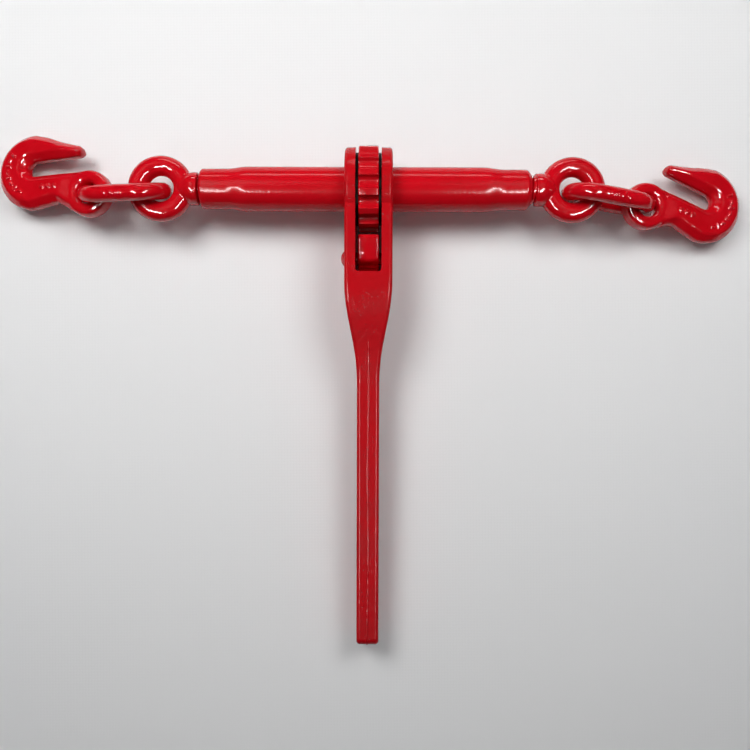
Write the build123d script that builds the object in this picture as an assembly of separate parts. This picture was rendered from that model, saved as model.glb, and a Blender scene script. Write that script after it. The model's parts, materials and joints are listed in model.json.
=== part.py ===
from build123d import *
import math
import os

# Ratchet load binder with a grab hook at each end. Millimetres and degrees.
#
# Row frame: +X runs to the right along the barrel, +Y points ahead of the barrel (the handle points
# back along -Y) and +Z is up. Z is zero on the surface that the binder lies on, and X = Y = 0 is the
# middle of its footprint. The pieces on the barrel are first built about the barrel's own axis, with
# the middle of the ratchet gear at the origin, and are then carried into the row frame.

# ---- Where the binder lies ----
AXIS_FORWARD = 151.0        # barrel axis ahead of the middle of the footprint
AXIS_HEIGHT = 32.5          # barrel axis above the surface: the gear's teeth rest on it
HANDLE_DROOP = 2.87         # the handle leans down so that its tip rests on the surface
CHAIN_PITCH = 10.5          # links and hooks lean down and out, so that the hooks lie on the surface

# ---- Barrel: a tube with a swaged, threaded neck at each end ----
BARREL_LEFT = -127.4        # left end, from the middle of the gear
BARREL_RIGHT = 122.6        # right end
BARREL_R = 16.7             # one inch pipe, 33.4 over the outside
BARREL_BORE_R = 13.3
NECK_R = 15.1
NECK_LENGTH = 23.0
NECK_TAPER = 9.5
NECK_BORE_R = 11.3          # clears the crests of the screw
NECK_BORE_LENGTH = 25.0
NECK_BORE_TAPER = 8.0
END_CHAMFER_LEFT = 1.5
END_CHAMFER_RIGHT = 3.0

# ---- Ratchet gear, its lock pin and the two thrust washers ----
TEETH = 14
TOOTH_PITCH = 360.0 / TEETH
GEAR_R = 32.5
GEAR_WIDTH = 15.0
GULLET_R = 4.6              # round gullets, their centres just outside the tips
GULLET_CENTRE_R = 32.6
GEAR_FIT = 0.02             # radial fit of the gear on the barrel
LOCK_PIN_R = 2.5
LOCK_PIN_OUTER_R = 27.8     # the pin ends just below the bottom of a gullet
WASHER_R = 27.0
WASHER_THICKNESS = 1.8
THRUST_GAP = 0.15           # between gear, washer and cheek, on each face

# ---- Handle: one forging with a forked head ----
CHEEK_INNER = 9.7           # half the slot
CHEEK_OUTER = 17.8          # half the width over the cheeks
HEAD_R = 31.0
HEAD_BORE_R = 17.0
NECK_TOP = 27.4             # half the height of the neck behind the head
SLOT_END = -64.0            # bottom of the slot
SLOT_CORNER_R = 2.5
SHOULDER_START = -70.0      # the cheeks' width runs down to the blade from here
SHOULDER_END = -148.0
BLADE_HALF_WIDTH = 8.5
BLADE_HALF_HEIGHT = 15.0
HANDLE_TIP = -349.0
TIP_CORNER_R = 6.0
HANDLE_EDGE_R = 2.6         # rounding of the forging's long edges
RECESS_DEPTH = 3.0          # sunk panel on each side of the blade
RECESS_HALF_HEIGHT = 9.0
RECESS_START = -168.0
RECESS_END = -308.0
TIE_HOLE_R = 4.5            # cross hole near the tip, for tying the handle down
TIE_HOLE_Y = -333.0

# ---- Pawl, its pin, plunger and spring ----
PAWL_PIVOT_Y = -52.5
PAWL_WIDTH = 15.8
PAWL_HUB_R = 10.0
PAWL_PIN_R = 4.75
PAWL_FIT = 0.10             # radial clearance of the pawl on its pin
HORN_REACH = 22.1           # pivot to the centre of a horn's rounded tip
HORN_ANGLE = 51.3           # each horn from the handle's centre line, in neutral
HORN_TIP_R = 2.6
DETENT_SWING = 32.0         # neutral to engaged, which is also where the side notches are
NOTCH_R = 3.2
NOTCH_CENTRE = 12.6         # from the pivot
RIVET_HEAD_R = 6.5
RIVET_HEAD_HEIGHT = 3.4
PLUNGER_R = 4.0
PLUNGER_BORE_R = 4.2
PLUNGER_NOSE_Y = -62.85     # clears the back of the hub by 0.35
PLUNGER_END_Y = -82.0
PLUNGER_BORE_END = -98.0
PLUNGER_SKIRT_DEPTH = 6.0   # the spring sits in a pocket in the plunger's tail
SPRING_COIL_R = 2.6
SPRING_WIRE_R = 0.5
SPRING_TURNS = 7

# ---- Eye bolts ----
RING_CENTRE_LEFT = -158.4
RING_CENTRE_RIGHT = 155.0
RING_R = 17.5               # centre line of the ring's wire
RING_WIRE_R = 7.7
SHANK_R = 12.5
SHOULDER_FROM_RING = 29.3   # ring centre to the shoulder that faces the barrel
SCREW_R = 11.0
SCREW_LENGTH = 122.0
STOP_PIN_R = 2.5
STOP_PIN_LENGTH = 25.0
STOP_PIN_FROM_END = 5.0

# ---- Links ----
LINK_WIRE_R = 6.35
LINK_END_R = 15.6           # centre line of each rounded end
LINK_STRAIGHT = 29.0        # between the centres of the two ends
LINK_IN_RING = 1.5          # the near end lies this far to the barrel's side of the ring's centre
LEFT_LINK_OFFSET = -2.4     # sideways place of the near end in the ring
RIGHT_LINK_OFFSET = -2.3
LEFT_LINK_YAW = 0.0
RIGHT_LINK_YAW = -7.5
LEFT_LINK_LEAN = 14.0       # the top of the link leans back, towards the handle's side
RIGHT_LINK_LEAN = 3.0

# ---- Hooks ----
# u runs from the eye's centre out to the bend, and v from the shank to the prong.
HOOK_THICKNESS = 17.0
HOOK_CHAMFER = 3.6
EYE_R = 18.1
EYE_HOLE_R = 9.4
EYE_THICKNESS = 14.0
EYE_EDGE_R = 4.0
EYE_HOLE_FLARE = 4.4        # the hole's edges are well rounded, so that the link can tilt in it
BEND_CENTRE = (47.5, 18.9)
BEND_R = 29.8
THROAT_CENTRE = (44.5, 21.6)
THROAT_R = 5.6
TIP_CENTRE = (11.5, 34.3)
TIP_R = 4.5
LEFT_EYE = (-215.1, -2.6, -7.4)     # from the middle of the gear, on the barrel's axis
RIGHT_EYE = (212.9, -10.8, -7.4)
LEFT_HOOK_YAW = 0.0
RIGHT_HOOK_YAW = -18.4
HOOK_ROLL = 6.0             # the prong's side hangs lower


# ---- Small helpers ----

def cylinder_along(axis, radius, low, high):
    """A cylinder about the X, Y or Z axis, between two places on it."""
    middle = (low + high) / 2
    turns = {"X": (0, 90, 0), "Y": (90, 0, 0), "Z": (0, 0, 0)}
    places = {"X": (middle, 0, 0), "Y": (0, middle, 0), "Z": (0, 0, middle)}
    return Pos(*places[axis]) * Rot(*turns[axis]) * Cylinder(radius, high - low)


def turned(points):
    """A solid turned about X from an outline of (place along X, radius) points."""
    face = make_face(Polyline(*points, close=True))
    return revolve(face, Axis.X, 360)


def on_barrel(shape):
    """Carry a piece from the barrel's own axis into the row frame."""
    return Pos(0, AXIS_FORWARD, AXIS_HEIGHT) * shape


def on_handle(shape):
    """The same for the pieces that lean with the handle, and the gear that is in step with it."""
    return on_barrel(Rot(HANDLE_DROOP, 0, 0) * shape)


# ---- Barrel group ----

def lock_pin_turn():
    """The lock pin lies in the first gullet ahead of the topmost one."""
    return Rot(-TOOTH_PITCH, 0, 0)


def barrel():
    outer = [
        (BARREL_LEFT, NECK_R - END_CHAMFER_LEFT),
        (BARREL_LEFT + END_CHAMFER_LEFT, NECK_R),
        (BARREL_LEFT + NECK_LENGTH, NECK_R),
        (BARREL_LEFT + NECK_LENGTH + NECK_TAPER, BARREL_R),
        (BARREL_RIGHT - NECK_LENGTH - NECK_TAPER, BARREL_R),
        (BARREL_RIGHT - NECK_LENGTH, NECK_R),
        (BARREL_RIGHT - END_CHAMFER_RIGHT, NECK_R),
        (BARREL_RIGHT, NECK_R - END_CHAMFER_RIGHT),
    ]
    inner = [
        (BARREL_RIGHT, NECK_BORE_R),
        (BARREL_RIGHT - NECK_BORE_LENGTH, NECK_BORE_R),
        (BARREL_RIGHT - NECK_BORE_LENGTH - NECK_BORE_TAPER, BARREL_BORE_R),
        (BARREL_LEFT + NECK_BORE_LENGTH + NECK_BORE_TAPER, BARREL_BORE_R),
        (BARREL_LEFT + NECK_BORE_LENGTH, NECK_BORE_R),
        (BARREL_LEFT, NECK_BORE_R),
    ]
    tube = turned(outer + inner)
    pin_hole = lock_pin_turn() * cylinder_along("Z", LOCK_PIN_R, 0, BARREL_R + 5)
    return tube - pin_hole


def ratchet_gear():
    disc = cylinder_along("X", GEAR_R, -GEAR_WIDTH / 2, GEAR_WIDTH / 2)
    gear = chamfer(disc.edges(), 0.8)
    gear -= cylinder_along("X", BARREL_R + GEAR_FIT, -GEAR_WIDTH, GEAR_WIDTH)
    gullet = Pos(0, 0, GULLET_CENTRE_R) * cylinder_along("X", GULLET_R, -GEAR_WIDTH, GEAR_WIDTH)
    for tooth in range(TEETH):
        gear -= Rot(tooth * TOOTH_PITCH, 0, 0) * gullet
    pin_hole = lock_pin_turn() * cylinder_along("Z", LOCK_PIN_R, 0, GEAR_R)
    return gear - pin_hole


def gear_lock_pin():
    return lock_pin_turn() * cylinder_along("Z", LOCK_PIN_R, BARREL_BORE_R + 0.3, LOCK_PIN_OUTER_R)


def thrust_washer(side):
    """side is -1 for the left washer and +1 for the right one."""
    near = GEAR_WIDTH / 2 + THRUST_GAP
    ends = sorted((side * near, side * (near + WASHER_THICKNESS)))
    washer = cylinder_along("X", WASHER_R, *ends)
    return washer - cylinder_along("X", HEAD_BORE_R, ends[0] - 1, ends[1] + 1)


# ---- Handle group ----

def shoulder_curve(wide, slim, sign=1):
    """A smooth run down from the neck to the blade, as a Bezier along Y from half-size wide to slim."""
    return Bezier(
        (SHOULDER_START, sign * wide),
        (SHOULDER_START - 30, sign * wide),
        (SHOULDER_END + 33, sign * slim),
        (SHOULDER_END, sign * slim),
    )


def handle_side_outline():
    """The handle seen from its side: a round head, a neck and a long blade, in the YZ plane."""
    neck_start = -math.sqrt(HEAD_R**2 - NECK_TOP**2) + 3
    top = shoulder_curve(NECK_TOP, BLADE_HALF_HEIGHT)
    bottom = shoulder_curve(NECK_TOP, BLADE_HALF_HEIGHT, sign=-1)
    tip = Polyline(
        (SHOULDER_END, BLADE_HALF_HEIGHT),
        (HANDLE_TIP, BLADE_HALF_HEIGHT),
        (HANDLE_TIP, -BLADE_HALF_HEIGHT),
        (SHOULDER_END, -BLADE_HALF_HEIGHT),
    )
    neck = Polyline(
        (SHOULDER_START, -NECK_TOP),
        (neck_start, -NECK_TOP),
        (neck_start, NECK_TOP),
        (SHOULDER_START, NECK_TOP),
    )
    face = make_face(top + tip + bottom + neck)
    tip_corners = face.vertices().sort_by(Axis.X)[:2]
    return Plane.YZ * fillet(tip_corners, TIP_CORNER_R)


def handle_top_outline():
    """Half of the handle seen from above, mirrored: wide cheeks that run down to the slim blade."""
    shoulder = Bezier(
        (CHEEK_OUTER, SHOULDER_START),
        (CHEEK_OUTER, SHOULDER_START - 30),
        (BLADE_HALF_WIDTH, SHOULDER_END + 33),
        (BLADE_HALF_WIDTH, SHOULDER_END),
    )
    edge = Polyline(
        (BLADE_HALF_WIDTH, SHOULDER_END),
        (BLADE_HALF_WIDTH, HANDLE_TIP - 5),
        (0, HANDLE_TIP - 5),
        (0, HEAD_R + 5),
        (CHEEK_OUTER, HEAD_R + 5),
        (CHEEK_OUTER, SHOULDER_START),
    )
    half = make_face(shoulder + edge)
    return half + mirror(half, Plane.YZ)


def round_handle_edges(blank):
    """Round the forging's long outer edges, with the largest of a few radii that the shape takes."""
    long_edges = [e for e in blank.edges() if e.bounding_box().size.X < 3 * CHEEK_OUTER]
    rims = [e for e in long_edges if abs(e.center().X) > 3 and not is_crosswise(e)]
    for radius in (HANDLE_EDGE_R, 2.0, 1.2):
        try:
            rounded = fillet(rims, radius)
        except ValueError:
            continue
        if rounded.is_valid:
            return rounded
    return blank


def is_crosswise(edge):
    """True for an edge that runs straight across the handle, along X."""
    box = edge.bounding_box().size
    return box.Y < 0.01 and box.Z < 0.01


def blade_recess(side):
    """The sunk panel on one side of the blade, with sloping walls and rounded ends."""
    length = abs(RECESS_END - RECESS_START)
    middle = (RECESS_START + RECESS_END) / 2
    rim = SlotOverall(length, 2 * RECESS_HALF_HEIGHT + 2)
    floor = SlotOverall(length - 4, 2 * RECESS_HALF_HEIGHT - 2)
    outer_plane = Plane((side * BLADE_HALF_WIDTH, middle, 0), x_dir=(0, 1, 0), z_dir=(side, 0, 0))
    inner_plane = outer_plane.offset(-RECESS_DEPTH)
    return loft([outer_plane.offset(0.01) * rim.face(), inner_plane * floor.face()])


def handle():
    side_view = handle_side_outline()
    blank = extrude(side_view, CHEEK_OUTER, both=True)
    head = cylinder_along("X", HEAD_R, -CHEEK_OUTER, CHEEK_OUTER)
    plan = extrude(handle_top_outline(), 2 * HEAD_R, both=True)
    forging = round_handle_edges((blank + head) & plan)
    slot_top = HEAD_R + 5
    slot = Pos(0, (SLOT_END + slot_top) / 2, 0) * Box(2 * CHEEK_INNER, slot_top - SLOT_END, 4 * HEAD_R)
    slot_bottom_edges = slot.edges().filter_by(Axis.Z).sort_by(Axis.Y)[:2]
    forging -= fillet(slot_bottom_edges, SLOT_CORNER_R)
    forging -= cylinder_along("X", HEAD_BORE_R, -2 * CHEEK_OUTER, 2 * CHEEK_OUTER)
    forging -= Pos(0, PAWL_PIVOT_Y, 0) * cylinder_along("X", PAWL_PIN_R, -30, 30)
    forging -= Pos(0, TIE_HOLE_Y, 0) * cylinder_along("X", TIE_HOLE_R, -30, 30)
    forging -= cylinder_along("Y", PLUNGER_BORE_R, PLUNGER_BORE_END, SLOT_END + 1)
    for side in (-1, 1):
        forging -= blade_recess(side)
    return forging


def pawl():
    """A hub with two horns, one for each way of ratcheting, and three notches for the plunger."""
    hub = Circle(PAWL_HUB_R)
    outline = hub
    for side in (-1, 1):
        angle = math.radians(HORN_ANGLE * side)
        tip = (HORN_REACH * math.cos(angle), HORN_REACH * math.sin(angle))
        outline += make_hull([Pos(*tip) * Circle(HORN_TIP_R).edge(), Circle(PAWL_HUB_R - 2).edge()])
    for swing in (-DETENT_SWING, 0, DETENT_SWING):
        angle = math.radians(180 + swing)
        notch = (NOTCH_CENTRE * math.cos(angle), NOTCH_CENTRE * math.sin(angle))
        outline -= Pos(*notch) * Circle(NOTCH_R)
    outline -= Circle(PAWL_PIN_R + PAWL_FIT)
    body = extrude(Plane.YZ * outline, PAWL_WIDTH / 2, both=True)
    return Pos(0, PAWL_PIVOT_Y, 0) * body


def pawl_pin():
    """A rivet: a domed head outside the left cheek, flush with the right one."""
    pin = cylinder_along("X", PAWL_PIN_R, -CHEEK_OUTER, CHEEK_OUTER)
    dome_r = (RIVET_HEAD_R**2 + RIVET_HEAD_HEIGHT**2) / (2 * RIVET_HEAD_HEIGHT)
    dome = Pos(-CHEEK_OUTER - RIVET_HEAD_HEIGHT + dome_r, 0, 0) * Sphere(dome_r)
    outside = Pos(-CHEEK_OUTER - 10, 0, 0) * Box(20, 40, 40)
    return Pos(0, PAWL_PIVOT_Y, 0) * (pin + (dome & outside))


def pawl_plunger():
    """A round plunger with a rounded nose, and a pocket for the spring in its tail."""
    nose_centre = PLUNGER_NOSE_Y - PLUNGER_R
    pocket_r = SPRING_COIL_R + SPRING_WIRE_R + 0.15
    pocket_end = PLUNGER_END_Y + PLUNGER_SKIRT_DEPTH
    wall = Polyline(
        (PLUNGER_NOSE_Y, 0),
        (pocket_end, 0),
        (pocket_end, pocket_r),
        (PLUNGER_END_Y, pocket_r),
        (PLUNGER_END_Y, PLUNGER_R),
        (nose_centre, PLUNGER_R),
    )
    middle = PLUNGER_R * math.sqrt(0.5)
    nose = ThreePointArc((nose_centre, PLUNGER_R), (nose_centre + middle, middle), (PLUNGER_NOSE_Y, 0))
    return Rot(0, 0, 90) * revolve(make_face(wall + nose), Axis.X, 360)


def pawl_spring():
    """A coil spring between the plunger's pocket and the bottom of its bore."""
    start = PLUNGER_BORE_END + SPRING_WIRE_R + 0.1
    end = PLUNGER_END_Y + PLUNGER_SKIRT_DEPTH - SPRING_WIRE_R - 0.1
    height = end - start
    coil = Helix(height / SPRING_TURNS, height, SPRING_COIL_R)
    section = Plane(coil @ 0, z_dir=coil % 0) * Circle(SPRING_WIRE_R)
    spring = sweep(section, path=coil)
    return Pos(0, start, 0) * Rot(-90, 0, 0) * spring


# ---- Eye bolts, links and hooks ----

def eye_bolt(side):
    """A ring, a thick shank with a shoulder, and the screw that runs in the barrel's neck."""
    ring = Torus(RING_R, RING_WIRE_R)
    profile = [
        (14.5, 0),
        (14.5, 6.0),
        (21.0, SHANK_R),
        (SHOULDER_FROM_RING - 1.0, SHANK_R),
        (SHOULDER_FROM_RING, SHANK_R - 1.0),
        (SHOULDER_FROM_RING, SCREW_R),
        (SHOULDER_FROM_RING + SCREW_LENGTH - 1.5, SCREW_R),
        (SHOULDER_FROM_RING + SCREW_LENGTH, SCREW_R - 1.5),
        (SHOULDER_FROM_RING + SCREW_LENGTH, 0),
    ]
    bolt = ring + turned(profile)
    bolt -= Pos(stop_pin_from_ring(), 0, 0) * cylinder_along("Z", STOP_PIN_R, -20, 20)
    return Pos(ring_centre(side), 0, 0) * Rot(0, 0, 0 if side < 0 else 180) * bolt


def ring_centre(side):
    return RING_CENTRE_LEFT if side < 0 else RING_CENTRE_RIGHT


def stop_pin_from_ring():
    return SHOULDER_FROM_RING + SCREW_LENGTH - STOP_PIN_FROM_END


def stop_pin(side):
    pin = cylinder_along("Z", STOP_PIN_R, -STOP_PIN_LENGTH / 2, STOP_PIN_LENGTH / 2)
    return Pos(ring_centre(side) - side * stop_pin_from_ring(), 0, 0) * pin


def chain_link():
    """An oval link of round wire about the origin of its near end's wire, its length along +X."""
    near = LINK_END_R
    far = LINK_END_R + LINK_STRAIGHT
    ring = Torus(LINK_END_R, LINK_WIRE_R)
    keep = Pos(-50, 0, 0) * Box(100, 200, 200)
    half_ring = ring & keep
    link = Pos(near, 0, 0) * half_ring
    link += Pos(far, 0, 0) * Rot(0, 0, 180) * half_ring
    for side in (-1, 1):
        bar = cylinder_along("X", LINK_WIRE_R, near, far)
        link += Pos(0, side * LINK_END_R, 0) * bar
    return link


def outward(side, yaw, shape):
    """Point a piece built along +X outwards from the barrel, leaning down by the chain's pitch."""
    heading = yaw if side > 0 else 180 + yaw
    return Rot(0, 0, heading) * Rot(0, CHAIN_PITCH, 0) * shape


def link(side):
    offset = LEFT_LINK_OFFSET if side < 0 else RIGHT_LINK_OFFSET
    yaw = LEFT_LINK_YAW if side < 0 else RIGHT_LINK_YAW
    lean = LEFT_LINK_LEAN if side < 0 else RIGHT_LINK_LEAN
    upright = Rot(90 + side * lean, 0, 0) * chain_link()
    near_wire = (ring_centre(side) - side * LINK_IN_RING, offset, near_wire_height())
    return Pos(*near_wire) * outward(side, yaw, upright)


def near_wire_height():
    """The link leans about the ring's wire, so its near end stands above the ring's middle."""
    return (RING_R + LINK_IN_RING) * math.tan(math.radians(CHAIN_PITCH))


def hook_blank():
    """The hook without its eye: shank, round bend and the long prong, seen from above."""
    bend_u, bend_v = BEND_CENTRE
    throat_u, throat_v = THROAT_CENTRE
    tip_u, tip_v = TIP_CENTRE
    bend_bottom = (bend_u, bend_v - BEND_R)
    bend_top = (bend_u, bend_v + BEND_R)
    tip_top = (tip_u + 1.0, tip_v + TIP_R)
    tip_bottom = (tip_u + 1.0, tip_v - TIP_R)
    bend = ThreePointArc(bend_bottom, (bend_u + BEND_R, bend_v), bend_top)
    prong = Spline(bend_top, (27, 42.9), tip_top, tangents=((-1, 0), (-1, -0.32)))
    nose = ThreePointArc(tip_top, (tip_u - TIP_R, tip_v), tip_bottom)
    slot_roof = Line(tip_bottom, (throat_u, throat_v + THROAT_R))
    throat = ThreePointArc(
        (throat_u, throat_v + THROAT_R),
        (throat_u + THROAT_R, throat_v),
        (throat_u, throat_v - THROAT_R),
    )
    shank = Polyline((throat_u, throat_v - THROAT_R), (12, 17.3), (12, -14.0))
    heel = Spline((12, -14.0), (17.8, -10.2), (25.5, -6.6), bend_bottom, tangents=((1, 0.7), (1, 0)))
    return make_face(bend + prong + nose + slot_roof + throat + shank + heel)


def hook():
    plate = extrude(hook_blank(), HOOK_THICKNESS / 2, both=True)
    rims = plate.faces().filter_by(Axis.Z).edges()
    plate = chamfer(rims, HOOK_CHAMFER)
    eye = Cylinder(EYE_R, EYE_THICKNESS)
    eye = fillet(eye.edges(), EYE_EDGE_R)
    neck = Pos(9, 1.5, 0) * Box(10, 26, EYE_THICKNESS)
    body = plate + eye + neck - Cylinder(EYE_HOLE_R, 3 * HOOK_THICKNESS)
    hole_rims = body.edges().filter_by(GeomType.CIRCLE)
    hole_rims = [e for e in hole_rims if abs(e.radius - EYE_HOLE_R) < 0.01]
    return fillet(hole_rims, EYE_HOLE_FLARE)


def placed_hook(side):
    eye = LEFT_EYE if side < 0 else RIGHT_EYE
    yaw = LEFT_HOOK_YAW if side < 0 else RIGHT_HOOK_YAW
    face_up = Rot(180, 0, 0) if side < 0 else Rot(0, 0, 0)
    rolled = Rot(side * -HOOK_ROLL, 0, 0) * face_up * hook()
    return Pos(*eye) * outward(side, yaw, rolled)


# ---- Write the pieces ----

def pieces():
    made = {
        "barrel": on_handle(barrel()),
        "ratchet_gear": on_handle(ratchet_gear()),
        "gear_lock_pin": on_handle(gear_lock_pin()),
        "handle": on_handle(handle()),
        "pawl": on_handle(pawl()),
        "pawl_pin": on_handle(pawl_pin()),
        "pawl_plunger": on_handle(pawl_plunger()),
        "pawl_spring": on_handle(pawl_spring()),
    }
    for name, side in (("left", -1), ("right", 1)):
        made[f"{name}_thrust_washer"] = on_barrel(thrust_washer(side))
        made[f"{name}_eye_bolt"] = on_barrel(eye_bolt(side))
        made[f"{name}_stop_pin"] = on_barrel(stop_pin(side))
        made[f"{name}_link"] = on_barrel(link(side))
        made[f"{name}_hook"] = on_barrel(placed_hook(side))
    return made


os.makedirs("parts", exist_ok=True)
for node, shape in pieces().items():
    export_step(shape, f"parts/{node}.step")
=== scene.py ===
"""A ratchet load binder with a grab hook at each end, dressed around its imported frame.

Sizes are in millimetres until a mesh is written, which is in metres. Every piece is built in its own
local axes and carried to its place by an Axes value that is read from the frame's joints and boxes.
"""
import json
import logging
import math
from dataclasses import dataclass, field
from enum import Enum
from typing import Optional

import bpy
import numpy as np
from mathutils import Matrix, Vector


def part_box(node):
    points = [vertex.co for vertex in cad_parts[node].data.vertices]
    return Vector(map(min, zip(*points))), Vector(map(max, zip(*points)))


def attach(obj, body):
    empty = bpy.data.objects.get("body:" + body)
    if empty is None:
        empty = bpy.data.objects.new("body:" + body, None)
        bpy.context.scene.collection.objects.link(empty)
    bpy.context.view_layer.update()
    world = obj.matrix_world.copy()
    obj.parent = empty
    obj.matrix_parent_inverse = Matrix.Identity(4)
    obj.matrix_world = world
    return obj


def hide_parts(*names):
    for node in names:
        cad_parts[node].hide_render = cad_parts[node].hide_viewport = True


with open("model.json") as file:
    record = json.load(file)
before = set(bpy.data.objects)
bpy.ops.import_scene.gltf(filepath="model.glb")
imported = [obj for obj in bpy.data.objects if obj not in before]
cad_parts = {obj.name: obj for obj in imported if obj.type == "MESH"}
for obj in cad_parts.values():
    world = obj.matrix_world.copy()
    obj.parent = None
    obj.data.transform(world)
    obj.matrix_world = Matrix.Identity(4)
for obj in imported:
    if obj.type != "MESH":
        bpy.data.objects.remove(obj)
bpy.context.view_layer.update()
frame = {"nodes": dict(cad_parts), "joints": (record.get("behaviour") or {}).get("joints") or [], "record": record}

log = logging.getLogger("load_binder")

MM = 0.001
TURN = 2.0 * math.pi
SHARP_ANGLE = 38.0
HANDLE_SLOPE_JOINT = "plunger_slide"
Knots = tuple[tuple[float, float], ...]


class Side(Enum):
    """The two ends of the binder. The value is the sign of X there."""

    LEFT = -1
    RIGHT = 1

    @property
    def word(self) -> str:
        """The side's name, as the CAD nodes and bodies begin."""
        return self.name.lower()


# ---------------------------------------------------------------- places in the frame


@dataclass(frozen=True)
class Axes:
    """A local set of axes: an origin in millimetres and three unit vectors, one row each."""

    origin: np.ndarray
    rows: np.ndarray

    def carry(self, points: np.ndarray) -> np.ndarray:
        """Take points from the local axes to the row frame: origin + a.row0 + b.row1 + c.row2.

        Args:
            points: local points, any shape that ends in three.

        Returns:
            The same points in the row frame.
        """
        return self.origin + points @ self.rows


def joint(name: str) -> dict:
    """The frame's joint of that name."""
    return next(j for j in frame["joints"] if j["name"] == name)


def joint_place(name: str) -> np.ndarray:
    """Where a joint's axis passes, in millimetres."""
    return np.array(joint(name)["pos_m"]) / MM


def mount_axis(name: str) -> np.ndarray:
    """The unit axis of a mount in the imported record."""
    axis = next(m["axis"] for m in frame["record"]["mounts"] if m["name"] == name)
    return unit(np.array(axis, float))


def node_box(name: str) -> np.ndarray:
    """Lowest and highest corner of a CAD node, in millimetres, one row each."""
    return np.array([list(corner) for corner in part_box(name)]) / MM


def unit(vector: np.ndarray) -> np.ndarray:
    """The vector, or each row of an array of vectors, at length one."""
    return vector / np.linalg.norm(vector, axis=-1, keepdims=True)


def handle_axes() -> Axes:
    """Axes of the handle's pieces: X across, Y ahead along the handle, Z up from it, about the gear."""
    ahead = -unit(np.array(joint(HANDLE_SLOPE_JOINT)["axis"], float))
    across = np.array([1.0, 0.0, 0.0])
    return Axes(joint_place("handle_swing"), np.stack([across, ahead, np.cross(across, ahead)]))


# ---------------------------------------------------------------- surfaces


@dataclass
class Shell:
    """A closed surface: points in millimetres, four-sided faces and three-sided faces."""

    points: np.ndarray
    quads: np.ndarray
    tris: np.ndarray = field(default_factory=lambda: np.zeros((0, 3), int))

    def placed(self, axes: Axes) -> "Shell":
        """The shell carried to the row frame, its faces turned outwards."""
        return Shell(axes.carry(self.points), self.quads, self.tris).outward()

    def moved(self, offset: tuple[float, float, float]) -> "Shell":
        """The shell shifted by an offset."""
        return Shell(self.points + np.array(offset), self.quads, self.tris)

    def outward(self) -> "Shell":
        """Turn every face outwards, by the sign of the volume that the faces close.

        The volume is the sum of a . (b x c) / 6 over the triangles.

        Returns:
            The shell, with the order of each face's corners reversed where that volume is negative.
        """
        corners = np.concatenate([self.quads[:, [0, 1, 2]], self.quads[:, [0, 2, 3]], self.tris])
        a, b, c = (self.points[corners[:, k]] for k in range(3))
        if np.sum(a * np.cross(b, c)) >= 0:
            return self
        return Shell(self.points, self.quads[:, ::-1], self.tris[:, ::-1])

    def mesh(self, name: str) -> bpy.types.Mesh:
        """Write the shell as a Blender mesh in metres, smooth but for its sharp edges.

        Args:
            name: the mesh's name.

        Returns:
            The mesh.
        """
        made = bpy.data.meshes.new(name)
        quads, tris = self.quads, self.tris
        sizes = np.concatenate([np.full(len(quads), 4), np.full(len(tris), 3)])
        made.vertices.add(len(self.points))
        made.vertices.foreach_set("co", (self.points * MM).astype(np.float32).ravel())
        made.loops.add(int(sizes.sum()))
        made.loops.foreach_set("vertex_index", np.concatenate([quads.ravel(), tris.ravel()]).astype(np.int32))
        made.polygons.add(len(sizes))
        made.polygons.foreach_set("loop_start", (np.cumsum(sizes) - sizes).astype(np.int32))
        made.update(calc_edges=True)
        made.validate()
        made.polygons.foreach_set("use_smooth", np.ones(len(made.polygons), bool))
        made.set_sharp_from_angle(angle=math.radians(SHARP_ANGLE))
        return made


def full_turn(count: int) -> np.ndarray:
    """Angles evenly spaced once round, from zero."""
    return np.arange(count) * TURN / count


def upright(count: int) -> np.ndarray:
    """The same upward unit vector for each station of a path."""
    return np.tile([0.0, 0.0, 1.0], (count, 1))


def joined(shells: list[Shell]) -> Shell:
    """Several shells as one, their faces pointing outwards each on its own.

    Args:
        shells: the shells, in the same axes.

    Returns:
        One shell that holds them all.
    """
    facing = [shell.outward() for shell in shells]
    starts = np.cumsum([0] + [len(shell.points) for shell in facing[:-1]])
    return Shell(
        np.concatenate([shell.points for shell in facing]),
        np.concatenate([shell.quads + start for shell, start in zip(facing, starts)]),
        np.concatenate([shell.tris + start for shell, start in zip(facing, starts)]),
    )


def grid_shell(points: np.ndarray, closed_rows: bool = False) -> Shell:
    """A closed surface from a grid of points whose columns run round in a loop.

    Faces join (i, j), (i, j + 1), (i + 1, j + 1), (i + 1, j), with j wrapping round. Rows wrap round
    too, or else the first and last row are each closed by a fan about their mean.

    Args:
        points: rows x columns x 3.
        closed_rows: True where the last row joins the first.

    Returns:
        The shell.
    """
    rows, columns = points.shape[:2]
    i = np.arange(rows if closed_rows else rows - 1)[:, None]
    j = np.arange(columns)[None, :]
    after = (j + 1) % columns
    below = (i + 1) % rows
    quads = np.stack([i * columns + j, i * columns + after, below * columns + after, below * columns + j], -1)
    flat = points.reshape(-1, 3)
    if closed_rows:
        return Shell(flat, quads.reshape(-1, 4))
    poles = np.stack([points[0].mean(0), points[-1].mean(0)])
    rim, next_rim = np.arange(columns), (np.arange(columns) + 1) % columns
    last = (rows - 1) * columns
    first_fan = np.stack([next_rim, rim, np.full(columns, len(flat))], -1)
    last_fan = np.stack([last + rim, last + next_rim, np.full(columns, len(flat) + 1)], -1)
    return Shell(np.concatenate([flat, poles]), quads.reshape(-1, 4), np.concatenate([first_fan, last_fan]))


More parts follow.
